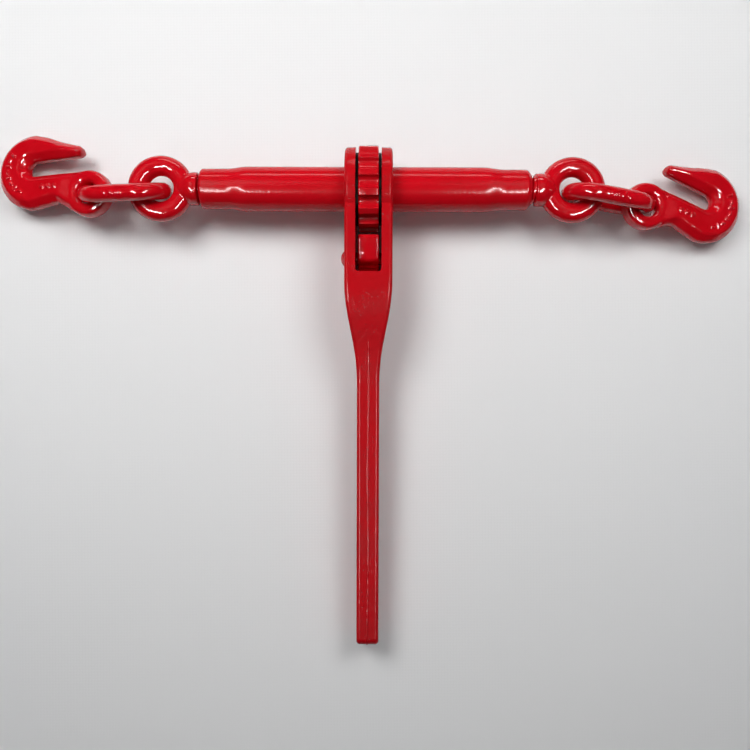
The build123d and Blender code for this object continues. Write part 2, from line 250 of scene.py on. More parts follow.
def round_corners(corners: np.ndarray, cuts: np.ndarray, steps: int = 5) -> np.ndarray:
    """Round the corners of closed outlines.

    Each corner P becomes the quadratic curve (1-t)^2 A + 2t(1-t) P + t^2 B, where A and B lie on the
    two sides at the corner's cut from P, or at just under half of a short side.

    Args:
        corners: outlines, ... x corners x 2.
        cuts: how far along its sides each corner is cut, ... x corners.
        steps: points per corner.

    Returns:
        The rounded outlines, ... x (corners x steps) x 2.
    """
    back = np.roll(corners, 1, axis=-2) - corners
    ahead = np.roll(corners, -1, axis=-2) - corners
    back_length = np.linalg.norm(back, axis=-1)
    ahead_length = np.linalg.norm(ahead, axis=-1)
    back_cut = np.minimum(cuts, 0.48 * back_length) / np.maximum(back_length, 1e-9)
    ahead_cut = np.minimum(cuts, 0.48 * ahead_length) / np.maximum(ahead_length, 1e-9)
    start = (corners + back * back_cut[..., None])[..., None, :]
    end = (corners + ahead * ahead_cut[..., None])[..., None, :]
    t = np.linspace(0, 1, steps)[:, None]
    curve = (1 - t) ** 2 * start + 2 * t * (1 - t) * corners[..., None, :] + t**2 * end
    return curve.reshape(*corners.shape[:-2], -1, 2)


def lathe(outline: np.ndarray, columns: int = 96, closed: bool = False) -> Shell:
    """Turn an outline about X: (x, r) becomes (x, r cos a, r sin a) for a once round.

    Args:
        outline: points of (place along X, radius).
        columns: points round the axis.
        closed: True where the outline is a loop, as a tube's wall is.

    Returns:
        The shell.
    """
    angle = full_turn(columns)
    x, r = outline[:, 0, None], outline[:, 1, None]
    points = np.stack([x + 0 * angle, r * np.cos(angle), r * np.sin(angle)], -1)
    return grid_shell(points, closed_rows=closed)


def swept(path: np.ndarray, across: np.ndarray, over: np.ndarray, sections: np.ndarray, loop: bool) -> Shell:
    """Carry sections along a path: path + section_a . across + section_b . over.

    Args:
        path: stations x 3.
        across: unit vectors for the sections' first axis, stations x 3.
        over: unit vectors for the sections' second axis, stations x 3.
        sections: stations x points x 2.
        loop: True where the path closes on itself.

    Returns:
        The shell.
    """
    points = (
        path[:, None, :]
        + sections[..., :1] * across[:, None, :]
        + sections[..., 1:] * over[:, None, :]
    )
    return grid_shell(points, closed_rows=loop)


def flat_ribbon(inner: np.ndarray, outer: np.ndarray, corners: np.ndarray, cuts: list[float]) -> Shell:
    """A strip between two flat edges, with a rounded section on the line between each pair of points.

    Args:
        inner: points of the one edge, stations x 2.
        outer: points of the other edge, stations x 2.
        corners: the sections' corners, as distance from the inner edge and height, stations x corners x 2.
        cuts: how far each corner is cut where it is rounded.

    Returns:
        The shell.
    """
    sections = round_corners(corners, np.tile(np.array(cuts), (len(inner), 1)))
    flat = ((0, 0), (0, 1))
    across = np.pad(unit(outer - inner), flat)
    return swept(np.pad(inner, flat), across, upright(len(inner)), sections, loop=False)


def ring_shell(
    radius: float, half_width: float, half_height: float, power: float = 1.0, rows: int = 120, columns: int = 48
) -> Shell:
    """A ring about Z: ((R + w c) cos a, (R + w c) sin a, h s) for a round it and b round its section.

    Here c and s are the cosine and sine of b with their sizes raised to the power, which squares the
    section where the power is under one.

    Args:
        radius: radius of the section's middle.
        half_width: half the section's width.
        half_height: half its height.
        power: that power.
        rows: how many sections go round it.
        columns: points of each section.

    Returns:
        The shell.
    """
    a, b = full_turn(rows)[:, None], full_turn(columns)[None, :]
    sideways, upward = (np.sign(wave) * np.abs(wave) ** power for wave in (np.cos(b), np.sin(b)))
    reach = radius + half_width * sideways
    points = np.stack([reach * np.cos(a), reach * np.sin(a), half_height * upward + 0 * a], -1)
    return grid_shell(points, closed_rows=True)


def polar_plate(rim: np.ndarray, bore: float, low: float, high: float, edge: float) -> Shell:
    """A plate across X with a polar outline, a round bore and rounded rim edges.

    Columns are angles about X, from +Y towards +Z. Rows run from the bore over the high face, round the
    rim on two quarter circles of the edge radius, back over the low face and through the bore.

    Args:
        rim: the outline's radius at each angle.
        bore: radius of the hole.
        low: the lower face's place along X.
        high: the upper face's place along X.
        edge: radius of the rim's edges.

    Returns:
        The shell.
    """
    quarter = np.linspace(0, math.pi / 2, 5)
    bore_break, support = 0.5, 0.3
    inset = np.concatenate([[edge + support], edge * (1 - np.sin(quarter))])
    drop = np.concatenate([[0.0], edge * (1 - np.cos(quarter))])
    rim_rows = np.concatenate([rim[None, :] - inset[:, None], rim[None, :] - inset[::-1, None]])
    rim_x = np.concatenate([high - drop, low + drop[::-1]])
    bore_r = bore + np.array([0.0, bore_break, bore_break + support])
    ones = np.ones_like(rim)
    rows = np.concatenate([bore_r[:, None] * ones, rim_rows, bore_r[::-1, None] * ones])
    x = np.concatenate([[high - bore_break, high, high], rim_x, [low, low, low + bore_break]])
    angle = full_turn(len(rim))
    points = np.stack([x[:, None] * ones, rows * np.cos(angle), rows * np.sin(angle)], -1)
    return grid_shell(points, closed_rows=True)


def hull_radius(angle: np.ndarray, circles: list[tuple[float, float, float]]) -> np.ndarray:
    """Polar outline of the hull of some circles, seen from a point inside them.

    The hull reaches h(p) = max(centre . p + r) in each direction p, and its polar radius at an angle is
    the least h(p) / cos(angle - p).

    Args:
        angle: the angles to work out.
        circles: (distance of the centre, angle of the centre, radius) of each circle.

    Returns:
        The radius at each angle.
    """
    facing = np.linspace(0, TURN, 1440, endpoint=False)
    reach = np.max([d * np.cos(facing - a) + r for d, a, r in circles], axis=0)
    cosine = np.cos(angle[:, None] - facing[None, :])
    distance = np.where(cosine > 0.02, reach / np.maximum(cosine, 0.02), np.inf)
    return distance.min(1)


def cut_by_circle(rim: np.ndarray, angle: np.ndarray, distance: float, at: float, radius: float) -> np.ndarray:
    """Cut a round notch into a polar outline: the notch's near side, d cos p - sqrt(r^2 - d^2 sin^2 p).

    Args:
        rim: the outline's radius at each angle.
        angle: those angles.
        distance: how far the notch's centre is from the middle.
        at: the angle of the notch's centre.
        radius: the notch's radius.

    Returns:
        The outline with the notch.
    """
    turn = (angle - at + math.pi) % TURN - math.pi
    depth = radius**2 - (distance * np.sin(turn)) ** 2
    near = distance * np.cos(turn) - np.sqrt(np.maximum(depth, 0))
    inside = (depth > 0) & (np.abs(turn) < math.pi / 2)
    return np.where(inside, np.minimum(rim, near), rim)


def softened(ring: np.ndarray, passes: int) -> np.ndarray:
    """Soften a closed row of values: each becomes half itself and a quarter of each neighbour, per pass."""
    for _ in range(passes):
        ring = 0.5 * ring + 0.25 * (np.roll(ring, 1) + np.roll(ring, -1))
    return ring


def through(knots: list[tuple[float, float]], count: int) -> np.ndarray:
    """A smooth line through some knots, cubic between each two with slopes from their neighbours.

    With t from 0 to 1 between knots P and Q and slopes M and N it is
    (2t^3-3t^2+1) P + (t^3-2t^2+t) M + (-2t^3+3t^2) Q + (t^3-t^2) N.

    Args:
        knots: the points.
        count: how many points to give.

    Returns:
        The line, count x 2.
    """
    points = np.array(knots, float)
    steps = np.linalg.norm(np.diff(points, axis=0), axis=1)
    places = np.concatenate([[0.0], np.cumsum(steps)])
    slopes = np.gradient(points, places, axis=0)
    at = np.linspace(0, places[-1], count)
    index = np.clip(np.searchsorted(places, at, side="right") - 1, 0, len(points) - 2)
    width = steps[index]
    t = ((at - places[index]) / width)[:, None]
    start, end = points[index], points[index + 1]
    m, n = slopes[index] * width[:, None], slopes[index + 1] * width[:, None]
    return (
        (2 * t**3 - 3 * t**2 + 1) * start
        + (t**3 - 2 * t**2 + t) * m
        + (-2 * t**3 + 3 * t**2) * end
        + (t**3 - t**2) * n
    )


def arc(centre: tuple[float, float], radius: float, start: float, end: float, count: int) -> np.ndarray:
    """Points on an arc, between two angles in degrees, count x 2."""
    angle = np.radians(np.linspace(start, end, count))
    return np.array(centre) + radius * np.stack([np.cos(angle), np.sin(angle)], -1)


def fused(shell: Shell, voxel: float, smoothing: int) -> Shell:
    """Melt overlapping shells into one forged skin: a voxel remesh, and then some smoothing.

    Args:
        shell: the shells, as one.
        voxel: edge of a voxel, in millimetres.
        smoothing: passes of smoothing, which fill the inner corners a little.

    Returns:
        The fused shell.
    """
    draft = bpy.data.objects.new("draft", shell.mesh("draft"))
    bpy.context.scene.collection.objects.link(draft)
    remesh = draft.modifiers.new("melt", "REMESH")
    remesh.mode = "VOXEL"
    remesh.voxel_size = voxel * MM
    smooth = draft.modifiers.new("soften", "SMOOTH")
    smooth.iterations = smoothing
    smooth.factor = 0.5
    graph = bpy.context.evaluated_depsgraph_get()
    skin = bpy.data.meshes.new_from_object(draft.evaluated_get(graph))
    points = np.zeros(len(skin.vertices) * 3, np.float32)
    skin.vertices.foreach_get("co", points)
    sizes = np.zeros(len(skin.polygons), np.int32)
    skin.polygons.foreach_get("loop_total", sizes)
    corners = np.zeros(len(skin.loops), np.int32)
    skin.loops.foreach_get("vertex_index", corners)
    starts = np.cumsum(sizes) - sizes
    quads = corners[starts[sizes == 4][:, None] + np.arange(4)]
    tris = corners[starts[sizes == 3][:, None] + np.arange(3)]
    bpy.data.objects.remove(draft)
    bpy.data.meshes.remove(skin)
    return Shell(points.reshape(-1, 3).astype(float) / MM, quads, tris)


# ---------------------------------------------------------------- finishes


class NodeTree:
    """A thin hand for laying out shader nodes."""

    def __init__(self, tree: bpy.types.NodeTree) -> None:
        """Keep the tree that the nodes go into."""
        self.tree = tree

    def link(self, source: bpy.types.NodeSocket, target: bpy.types.NodeSocket) -> None:
        """Link an output to an input."""
        self.tree.links.new(source, target)

    def give(self, target: bpy.types.NodeSocket, value: object) -> None:
        """Link a socket to an input, or set the input to any other value."""
        if isinstance(value, bpy.types.NodeSocket):
            self.link(value, target)
        else:
            target.default_value = value

    def add(self, kind: str, values: Optional[dict] = None, **settings: object) -> bpy.types.Node:
        """Add a node.

        Args:
            kind: the node's type.
            values: socket values by socket name or number; a socket is linked, anything else is set.
            settings: the node's own properties.

        Returns:
            The node.
        """
        node = self.tree.nodes.new(kind)
        for key, value in settings.items():
            setattr(node, key, value)
        for key, value in (values or {}).items():
            self.give(node.inputs[key], value)
        return node

    def noise(
        self, where: bpy.types.NodeSocket, scale: float, detail: float = 3.0, rough: float = 0.55
    ) -> bpy.types.NodeSocket:
        """A noise pattern's value at some coordinates, its scale in lumps per metre."""
        values = {"Vector": where, "Scale": scale, "Detail": detail, "Roughness": rough}
        return self.add("ShaderNodeTexNoise", values).outputs["Fac"]

    def maths(self, operation: str, a: object, b: object = 0.0, clamp: bool = False) -> bpy.types.NodeSocket:
        """One operation on two values."""
        return self.add("ShaderNodeMath", {0: a, 1: b}, operation=operation, use_clamp=clamp).outputs[0]

    def spread(
        self, value: bpy.types.NodeSocket, low: float, high: float, to_low: float = 0.0, to_high: float = 1.0
    ) -> bpy.types.NodeSocket:
        """Stretch a value smoothly from one range to another, held at its ends."""
        values = {"Value": value, "From Min": low, "From Max": high, "To Min": to_low, "To Max": to_high}
        return self.add("ShaderNodeMapRange", values, interpolation_type="SMOOTHSTEP").outputs["Result"]

    def mixed(self, share: object, a: object, b: object) -> bpy.types.NodeSocket:
        """A mix of two colours."""
        node = self.add("ShaderNodeMix", data_type="RGBA")
        for index, value in ((0, share), (6, a), (7, b)):
            self.give(node.inputs[index], value)
        return node.outputs[2]


def new_group(
    name: str, inputs: dict[str, float], outputs: list[str]
) -> tuple[NodeTree, bpy.types.Node, bpy.types.Node]:
    """Start a shader node group that reads a vector and some values.

    Args:
        name: the group's name.
        inputs: name and default of each value it takes, beside its vector.
        outputs: names of the values that it puts out.

    Returns:
        The group's tree, its input node and its output node.
    """
    group = bpy.data.node_groups.new(name, "ShaderNodeTree")
    group.interface.new_socket("Vector", in_out="INPUT", socket_type="NodeSocketVector")
    for key, default in inputs.items():
        socket = group.interface.new_socket(key, in_out="INPUT", socket_type="NodeSocketFloat")
        socket.default_value = default
    for key in outputs:
        group.interface.new_socket(key, in_out="OUTPUT", socket_type="NodeSocketFloat")
    tree = NodeTree(group)
    return tree, tree.add("NodeGroupInput"), tree.add("NodeGroupOutput")


# Pattern scales, in features per metre, and shares of a pattern in the height of a skin.
LUMP_SCALE, PEEL_SCALE, PIT_SCALE, PATCH_SCALE, MOTTLE_SCALE = 190.0, 460.0, 520.0, 70.0, 45.0
FLECK_SCALE, DRIFT_SCALE, GRAIN_SCALE = 900.0, 55.0, 2200.0
PEEL_SHARE, PIT_SHARE = 0.14, 0.30
PIT_COLOUR, CHIP_COLOUR = (0.10, 0.004, 0.005, 1), (0.20, 0.010, 0.012, 1)
DUST_COLOUR = (0.66, 0.52, 0.50, 1)


def forged_skin_group() -> bpy.types.NodeTree:
    """The skin of a painted forging: soft lumps, paint peel, pits in patches and a mottle.

    Returns:
        The group, with outputs Height, Mottle and Pits.
    """
    name = "forged_skin"
    if name in bpy.data.node_groups:
        return bpy.data.node_groups[name]
    tree, given, out = new_group(name, {"Lumps": 1.0, "Peel": 1.0, "Pitting": 0.0}, ["Height", "Mottle", "Pits"])
    where = given.outputs["Vector"]
    lumps = tree.noise(where, LUMP_SCALE, 0.6, 0.35)
    peel = tree.noise(where, PEEL_SCALE, 0.0)
    cells = tree.add("ShaderNodeTexVoronoi", {"Vector": where, "Scale": PIT_SCALE}).outputs["Distance"]
    patches = tree.spread(tree.noise(where, PATCH_SCALE, 2.0), 0.42, 0.62)
    craters = tree.maths("MULTIPLY", tree.spread(cells, 0.32, 0.12), patches)
    pits = tree.maths("MULTIPLY", craters, given.outputs["Pitting"])
    height = tree.maths("MULTIPLY", lumps, given.outputs["Lumps"])
    ripple = tree.maths("MULTIPLY", given.outputs["Peel"], PEEL_SHARE)
    height = tree.maths("ADD", height, tree.maths("MULTIPLY", peel, ripple))
    height = tree.maths("SUBTRACT", height, tree.maths("MULTIPLY", pits, PIT_SHARE))
    mottle = tree.spread(tree.noise(where, MOTTLE_SCALE, 4.0), 0.3, 0.7)
    for key, value in (("Height", height), ("Mottle", mottle), ("Pits", pits)):
        tree.link(value, out.inputs[key])
    return tree.tree


def handled_group() -> bpy.types.NodeTree:
    """Marks of handling: small chips and a thin haze of dust in drifts.

    Returns:
        The group, with outputs Chips and Dust.
    """
    name = "handled"
    if name in bpy.data.node_groups:
        return bpy.data.node_groups[name]
    tree, given, out = new_group(name, {"Chipping": 0.0, "Dusting": 0.0}, ["Chips", "Dust"])
    where = given.outputs["Vector"]
    flecks = tree.spread(tree.noise(where, FLECK_SCALE, 2.0), 0.70, 0.74)
    chips = tree.maths("MULTIPLY", flecks, given.outputs["Chipping"])
    drifts = tree.spread(tree.noise(where, DRIFT_SCALE, 5.0, 0.65), 0.45, 0.75)
    grains = tree.spread(tree.noise(where, GRAIN_SCALE, 2.0), 0.40, 0.65)
    dust = tree.maths("MULTIPLY", tree.maths("MULTIPLY", drifts, grains), given.outputs["Dusting"])
    for key, value in (("Chips", chips), ("Dust", dust)):
        tree.link(value, out.inputs[key])
    return tree.tree


def start_material(name: str) -> tuple[NodeTree, bpy.types.Node, bpy.types.NodeSocket]:
    """Start a material.

    Args:
        name: the material's name.

    Returns:
        Its tree, its Principled BSDF and the Object coordinates.
    """
    material = bpy.data.materials.new(name)
    material.use_nodes = True
    tree = NodeTree(material.node_tree)
    shader = material.node_tree.nodes["Principled BSDF"]
    return tree, shader, tree.add("ShaderNodeTexCoord").outputs["Object"]


@dataclass(frozen=True)
class Finish:
    """A procedural finish. Its name must differ from the CAD's own material slots."""

    name: str

    def lay_out(self, tree: NodeTree, shader: bpy.types.Node, where: bpy.types.NodeSocket) -> None:
        """Lay out the finish's nodes, which each kind of finish does in its own way."""
        raise NotImplementedError

    def material(self) -> bpy.types.Material:
        """The finish's material, built the first time that it is asked for."""
        if self.name not in bpy.data.materials:
            self.lay_out(*start_material(self.name))
        return bpy.data.materials[self.name]


@dataclass(frozen=True)
class Enamel(Finish):
    """Gloss enamel over forged or drawn steel."""

    colour: tuple[float, float, float] = (0.56, 0.003, 0.010)
    thin: tuple[float, float, float] = (0.50, 0.002, 0.007)
    roughness: float = 0.10
    lumps: float = 0.6
    peel: float = 0.8
    pitting: float = 0.0
    depth: float = 0.00042
    chipping: float = 0.4
    gloss: float = 0.45
    coat: float = 0.15
    dusting: float = 0.012

    def lay_out(self, tree: NodeTree, shader: bpy.types.Node, where: bpy.types.NodeSocket) -> None:
        """Lay out the paint: its colour varies with the skin's mottle, pits, chips and dust.

        Args:
            tree: the material's nodes.
            shader: its Principled BSDF.
            where: the Object coordinates.
        """
        skin_values = {"Vector": where, "Lumps": self.lumps, "Peel": self.peel, "Pitting": self.pitting}
        skin = tree.add("ShaderNodeGroup", node_tree=forged_skin_group())
        marks = tree.add("ShaderNodeGroup", node_tree=handled_group())
        for key, value in skin_values.items():
            tree.give(skin.inputs[key], value)
        for key, value in {"Vector": where, "Chipping": self.chipping, "Dusting": self.dusting}.items():
            tree.give(marks.inputs[key], value)
        colour = tree.mixed(skin.outputs["Mottle"], (*self.thin, 1), (*self.colour, 1))
        colour = tree.mixed(tree.maths("MULTIPLY", skin.outputs["Pits"], 0.55), colour, PIT_COLOUR)
        colour = tree.mixed(tree.maths("MULTIPLY", marks.outputs["Chips"], 0.6), colour, CHIP_COLOUR)
        colour = tree.mixed(marks.outputs["Dust"], colour, DUST_COLOUR)
        tree.link(colour, shader.inputs["Base Color"])
        rough = tree.spread(skin.outputs["Mottle"], 0.0, 1.0, self.roughness + 0.03, self.roughness - 0.02)
        rough = tree.maths("ADD", rough, tree.maths("MULTIPLY", marks.outputs["Dust"], 0.5), clamp=True)
        tree.link(rough, shader.inputs["Roughness"])
        shader.inputs["Coat Weight"].default_value = self.coat
        shader.inputs["Coat Roughness"].default_value = 0.04
        shader.inputs["Specular IOR Level"].default_value = self.gloss
        bump = tree.add("ShaderNodeBump", {"Height": skin.outputs["Height"], "Distance": self.depth, "Strength": 1.0})
        tree.link(bump.outputs["Normal"], shader.inputs["Normal"])


@dataclass(frozen=True)
class Steel(Finish):
    """Bare steel, oiled or ground."""

    colour: tuple[float, float, float] = (0.42, 0.41, 0.40)
    stain: tuple[float, float, float] = (0.09, 0.07, 0.06)
    roughness: float = 0.34
    staining: float = 0.5
    depth: float = 0.00008

    def lay_out(self, tree: NodeTree, shader: bpy.types.Node, where: bpy.types.NodeSocket) -> None:
        """Lay out the metal: stains follow the skin's mottle and are rougher than the rest.

        Args:
            tree: the material's nodes.
            shader: its Principled BSDF.
            where: the Object coordinates.
        """
        skin = tree.add("ShaderNodeGroup", node_tree=forged_skin_group())
        tree.link(where, skin.inputs["Vector"])
        share = tree.maths("MULTIPLY", skin.outputs["Mottle"], self.staining)
        tree.link(tree.mixed(share, (*self.colour, 1), (*self.stain, 1)), shader.inputs["Base Color"])
        rough = tree.spread(skin.outputs["Mottle"], 0.0, 1.0, self.roughness - 0.06, self.roughness + 0.14)
        tree.link(rough, shader.inputs["Roughness"])
        shader.inputs["Metallic"].default_value = 1.0
        bump = tree.add("ShaderNodeBump", {"Height": skin.outputs["Height"], "Distance": self.depth})
        tree.link(bump.outputs["Normal"], shader.inputs["Normal"])


TUBE_ENAMEL = Enamel(
    "tube_gloss_paint", lumps=0.06, peel=1.0, roughness=0.17, dusting=0.006, gloss=0.18, coat=0.05
)
GEAR_ENAMEL = Enamel(
    "gear_gloss_paint", colour=(0.50, 0.003, 0.009), lumps=0.5, roughness=0.18, dusting=0.01, gloss=0.25, coat=0.06
)
FORGING_ENAMEL = Enamel(
    "forging_gloss_paint", colour=(0.50, 0.004, 0.009), thin=(0.44, 0.003, 0.007), peel=0.9, pitting=0.7,
    roughness=0.20, dusting=0.006, gloss=0.09, coat=0.03,
)
PAWL_ENAMEL = Enamel("pawl_gloss_paint", lumps=0.8, peel=0.9, gloss=0.30, coat=0.10)
RIVET_ENAMEL = Enamel("rivet_gloss_paint", lumps=0.5, peel=0.9)
BOLT_ENAMEL = Enamel("bolt_gloss_paint", lumps=0.9, peel=0.9)
LINK_ENAMEL = Enamel("link_gloss_paint", lumps=0.9, peel=0.9)
HOOK_ENAMEL = Enamel("hook_gloss_paint", lumps=0.8, peel=1.0)
PIN_STEEL = Steel("oiled_pin_steel")
# Painted shade: the thrust washers' near-black colour and stain stand in for the shaded gap between the gear and the
# fork's cheeks.
WASHER_GAP_SHADE = Steel(
    "greased_washer_steel", (0.022, 0.020, 0.018), stain=(0.008, 0.007, 0.006), roughness=0.50, staining=0.8
)
PLUNGER_STEEL = Steel("ground_plunger_steel", (0.52, 0.51, 0.50), roughness=0.24, staining=0.25)
SPRING_STEEL = Steel("spring_wire", (0.34, 0.34, 0.35), roughness=0.30)


# ---------------------------------------------------------------- putting a piece in the scene


def show(
    name: str, shell: Shell, finish: Finish, body: str, stands_for: Optional[str] = None
) -> None:
    """Make a piece from a shell, dress it and fix it to its body.

    Args:
        name: the piece's name.
        shell: its surface, in the row frame.
        finish: its finish.
        body: the CAD body that it rides on.
        stands_for: the CAD node that it replaces, if it does.
    """
    piece = bpy.data.objects.new(name, shell.mesh(name))
    bpy.context.scene.collection.objects.link(piece)
    piece.data.materials.append(finish.material())
    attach(piece, body)
    if stands_for:
        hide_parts(stands_for)
    faces = len(shell.quads) * 2 + len(shell.tris)
    log.info("%s: %d triangles on %s", name, faces, body)


def dress_node(node: str, finish: Finish) -> None:
    """Give a CAD node that stays its finish.

    Args:
        node: the CAD node.
        finish: the finish it gets.
    """
    mesh = frame["nodes"][node].data
    mesh.materials.clear()
    mesh.materials.append(finish.material())
    log.info("%s: the CAD node, in %s", node, finish.name)


# ---------------------------------------------------------------- barrel, gear and washers


@dataclass
class BarrelGroup:
    """The barrel with its ratchet gear and lock pin, and the thrust washers beside the gear."""

    radius: float = 16.7
    neck_radius: float = 15.1
    neck_length: float = 23.0
    taper: float = 9.5
    bore: float = 13.3
    neck_bore: float = 11.3
    neck_bore_length: float = 25.0
    bore_taper: float = 8.0
    left_break: float = 1.5
    right_break: float = 3.0
    teeth: int = 14
    gear_radius: float = 32.5
    gear_width: float = 15.0
    gear_bore: float = 16.75
    gullet_radius: float = 4.6
    gullet_distance: float = 32.6
    tooth_edge: float = 1.0
    tube_columns: int = 128
    gear_columns: int = 1344

    def tube_outline(self) -> np.ndarray:
        """Wall of the tube, as a loop: outside with two swaged necks, and the bore.

        Returns:
            Points of (place along X, radius).
        """
        low, high = (float(v) for v in node_box("barrel")[:, 0])
        neck, taper, r, n = self.neck_length, self.taper, self.radius, self.neck_radius
        reach, slope = self.neck_bore_length, self.bore_taper
        corners = np.array([
            (low, n - self.left_break), (low + self.left_break, n), (low + neck, n), (low + neck + taper, r),
            (high - neck - taper, r), (high - neck, n), (high - self.right_break, n), (high, n - self.right_break),
            (high, self.neck_bore), (high - reach, self.neck_bore), (high - reach - slope, self.bore),
            (low + reach + slope, self.bore), (low + reach, self.neck_bore), (low, self.neck_bore),
        ])
        cuts = np.array([0.7, 0.7, 3.5, 4.0, 4.0, 3.5, 1.5, 1.0, 0.6, 2.0, 2.0, 2.0, 2.0, 0.6])
        return round_corners(corners, cuts, 7)

    def gear_outline(self, angle: np.ndarray) -> np.ndarray:
        """Polar outline of the gear: a circle cut by round gullets, its corners softened.

        Args:
            angle: the angles to work out, from ahead towards the top.

        Returns:
            The radius at each angle.
        """
        pitch = TURN / self.teeth
        folded = (angle - math.pi / 2 + pitch / 2) % pitch - pitch / 2
        full = np.full_like(angle, self.gear_radius)
        return softened(cut_by_circle(full, folded, self.gullet_distance, 0.0, self.gullet_radius), 3)

    def build(self) -> None:
        """Build the tube and the gear, and dress the pin and the washers."""
        axes = handle_axes()
        tube = lathe(self.tube_outline(), self.tube_columns, closed=True).placed(axes)
        show("swaged_barrel", tube, TUBE_ENAMEL, "barrel", "barrel")
        angle = full_turn(self.gear_columns)
        half = self.gear_width / 2
        gear = polar_plate(self.gear_outline(angle), self.gear_bore, -half, half, self.tooth_edge)
        show("toothed_gear", gear.placed(axes), GEAR_ENAMEL, "barrel", "ratchet_gear")
        dress_node("gear_lock_pin", PIN_STEEL)
        for side in Side:
            # The washers get the near-black painted shade of the gap beside the gear.
            dress_node(f"{side.word}_thrust_washer", WASHER_GAP_SHADE)


# ---------------------------------------------------------------- handle and pawl


@dataclass
class HandleGroup:
    """The forked handle with its flash line, and the rivet, pawl, plunger and spring in its fork."""

    blade_half_height: float = 15.0
    neck_half_height: float = 27.4
    shoulder_start: float = -70.0
    shoulder_end: float = -148.0
    tip: float = -349.0
    tip_corner: float = 6.0
    flash_height: float = 0.45
    flash_half_width: float = 0.9
    flash_steps: int = 420
    flash_skip: int = 22
    ground_from: float = 0.48
    ground_share: float = 0.65
    ground_fade: float = 0.03

    def flash_line(self) -> np.ndarray:
        """The parting line in the handle's middle plane, from the shoulder over the top, tip and underside.

        The shoulder is the cubic (1-t)^3 A + 3t(1-t)^2 B + 3t^2(1-t) C + t^3 D between neck and blade.

        Returns:
            Points of (along the handle, height), evenly spaced.
        """
        t = np.linspace(0, 1, 40)[:, None]
        knots = np.array([
            (self.shoulder_start, self.neck_half_height), (self.shoulder_start - 30, self.neck_half_height),
            (self.shoulder_end + 33, self.blade_half_height), (self.shoulder_end, self.blade_half_height),
        ])
        weights = np.concatenate([(1 - t) ** 3, 3 * t * (1 - t) ** 2, 3 * t**2 * (1 - t), t**3], axis=1)
        shoulder = weights @ knots
        corner_y, corner_z = self.tip + self.tip_corner, self.blade_half_height - self.tip_corner
        corner = arc((corner_y, corner_z), self.tip_corner, 90, 180, 12)
        top = np.concatenate([shoulder[self.flash_skip:], corner])
        line = np.concatenate([top, top[::-1] * np.array([1, -1])])
        run = np.concatenate([[0], np.cumsum(np.linalg.norm(np.diff(line, axis=0), axis=1))])
        at = np.linspace(0, run[-1], self.flash_steps)
        return np.stack([np.interp(at, run, line[:, 0]), np.interp(at, run, line[:, 1])], -1)

    def flash(self) -> Shell:
        """A low ridge along the parting line, its width and height wandering a little, ground low underneath.

        Returns:
            The ridge, in the handle's axes.
        """
        line = self.flash_line()
        s = np.linspace(0, 1, len(line))
        wander = 0.5 * np.sin(61 * s) + 0.3 * np.sin(173 * s + 1) + 0.2 * np.sin(397 * s + 2)
        ends = np.clip(np.minimum(s, 1 - s) * 60, 0.05, 1)
        under = np.clip((s - self.ground_from) / self.ground_fade, 0, 1)
        height = self.flash_height * (1 + 0.35 * wander) * ends * (1 - self.ground_share * under)
        width = self.flash_half_width * (1 + 0.25 * np.roll(wander, 37)) * ends
        angle = full_turn(12)
        sections = np.stack([width[:, None] * np.cos(angle), height[:, None] * np.sin(angle)], -1)
        path = np.stack([0.35 * np.sin(23 * s), line[:, 0], line[:, 1]], -1)
        across = np.tile([1.0, 0.0, 0.0], (len(line), 1))
        over = unit(np.cross(np.gradient(path, axis=0), across))
        return swept(path, across, over, sections, loop=False)

    def build(self) -> None:
        """Dress the forging and its small pieces, and build the flash line."""
        dress_node("handle", FORGING_ENAMEL)
        dress_node("pawl_pin", RIVET_ENAMEL)
        dress_node("pawl_plunger", PLUNGER_STEEL)
        dress_node("pawl_spring", SPRING_STEEL)
        show("handle_flash_line", self.flash().placed(handle_axes()), FORGING_ENAMEL, "handle")


@dataclass
class Pawl:
    """The rocking pawl: a hub, two horns and three notches for the plunger."""

    width: float = 15.8
    hub_radius: float = 10.0
    bore: float = 4.85
    horn_reach: float = 22.1
    horn_angle: float = 51.3
    horn_tip_radius: float = 2.6
    horn_root_radius: float = 8.0
    back_reach: float = 12.5
    back_angle: float = 88.0
    back_radius: float = 4.6
    notch_distance: float = 12.6
    notch_radius: float = 3.2
    notch_swing: float = 32.0
    edge: float = 1.6
    columns: int = 720

    def outline(self, angle: np.ndarray) -> np.ndarray:
        """Polar outline about the pivot: the widest of the hub and the two horns, cut by the notches.

        Args:
            angle: the angles to work out, from ahead towards the top.

        Returns:
            The radius at each angle.
        """
        rim = np.full_like(angle, self.hub_radius)
        for sign in (-1, 1):
            at = math.radians(sign * self.horn_angle)
            back = math.radians(sign * self.back_angle)
            horn = [
                (self.horn_reach, at, self.horn_tip_radius),
                (self.back_reach, back, self.back_radius),
                (0.0, 0.0, self.horn_root_radius),
            ]
            rim = np.maximum(rim, hull_radius(angle, horn))
        for swing in (-self.notch_swing, 0.0, self.notch_swing):
            rim = cut_by_circle(rim, angle, self.notch_distance, math.radians(180 + swing), self.notch_radius)
        return softened(rim, 4)

    def build(self) -> None:
        """Build the pawl at its pivot."""
        axes = Axes(joint_place("pawl_pivot"), handle_axes().rows)
        angle = full_turn(self.columns)
        plate = polar_plate(self.outline(angle), self.bore, -self.width / 2, self.width / 2, self.edge)
        show("rocking_pawl", plate.placed(axes), PAWL_ENAMEL, "pawl", "pawl")


# ---------------------------------------------------------------- eye bolts, links and hooks


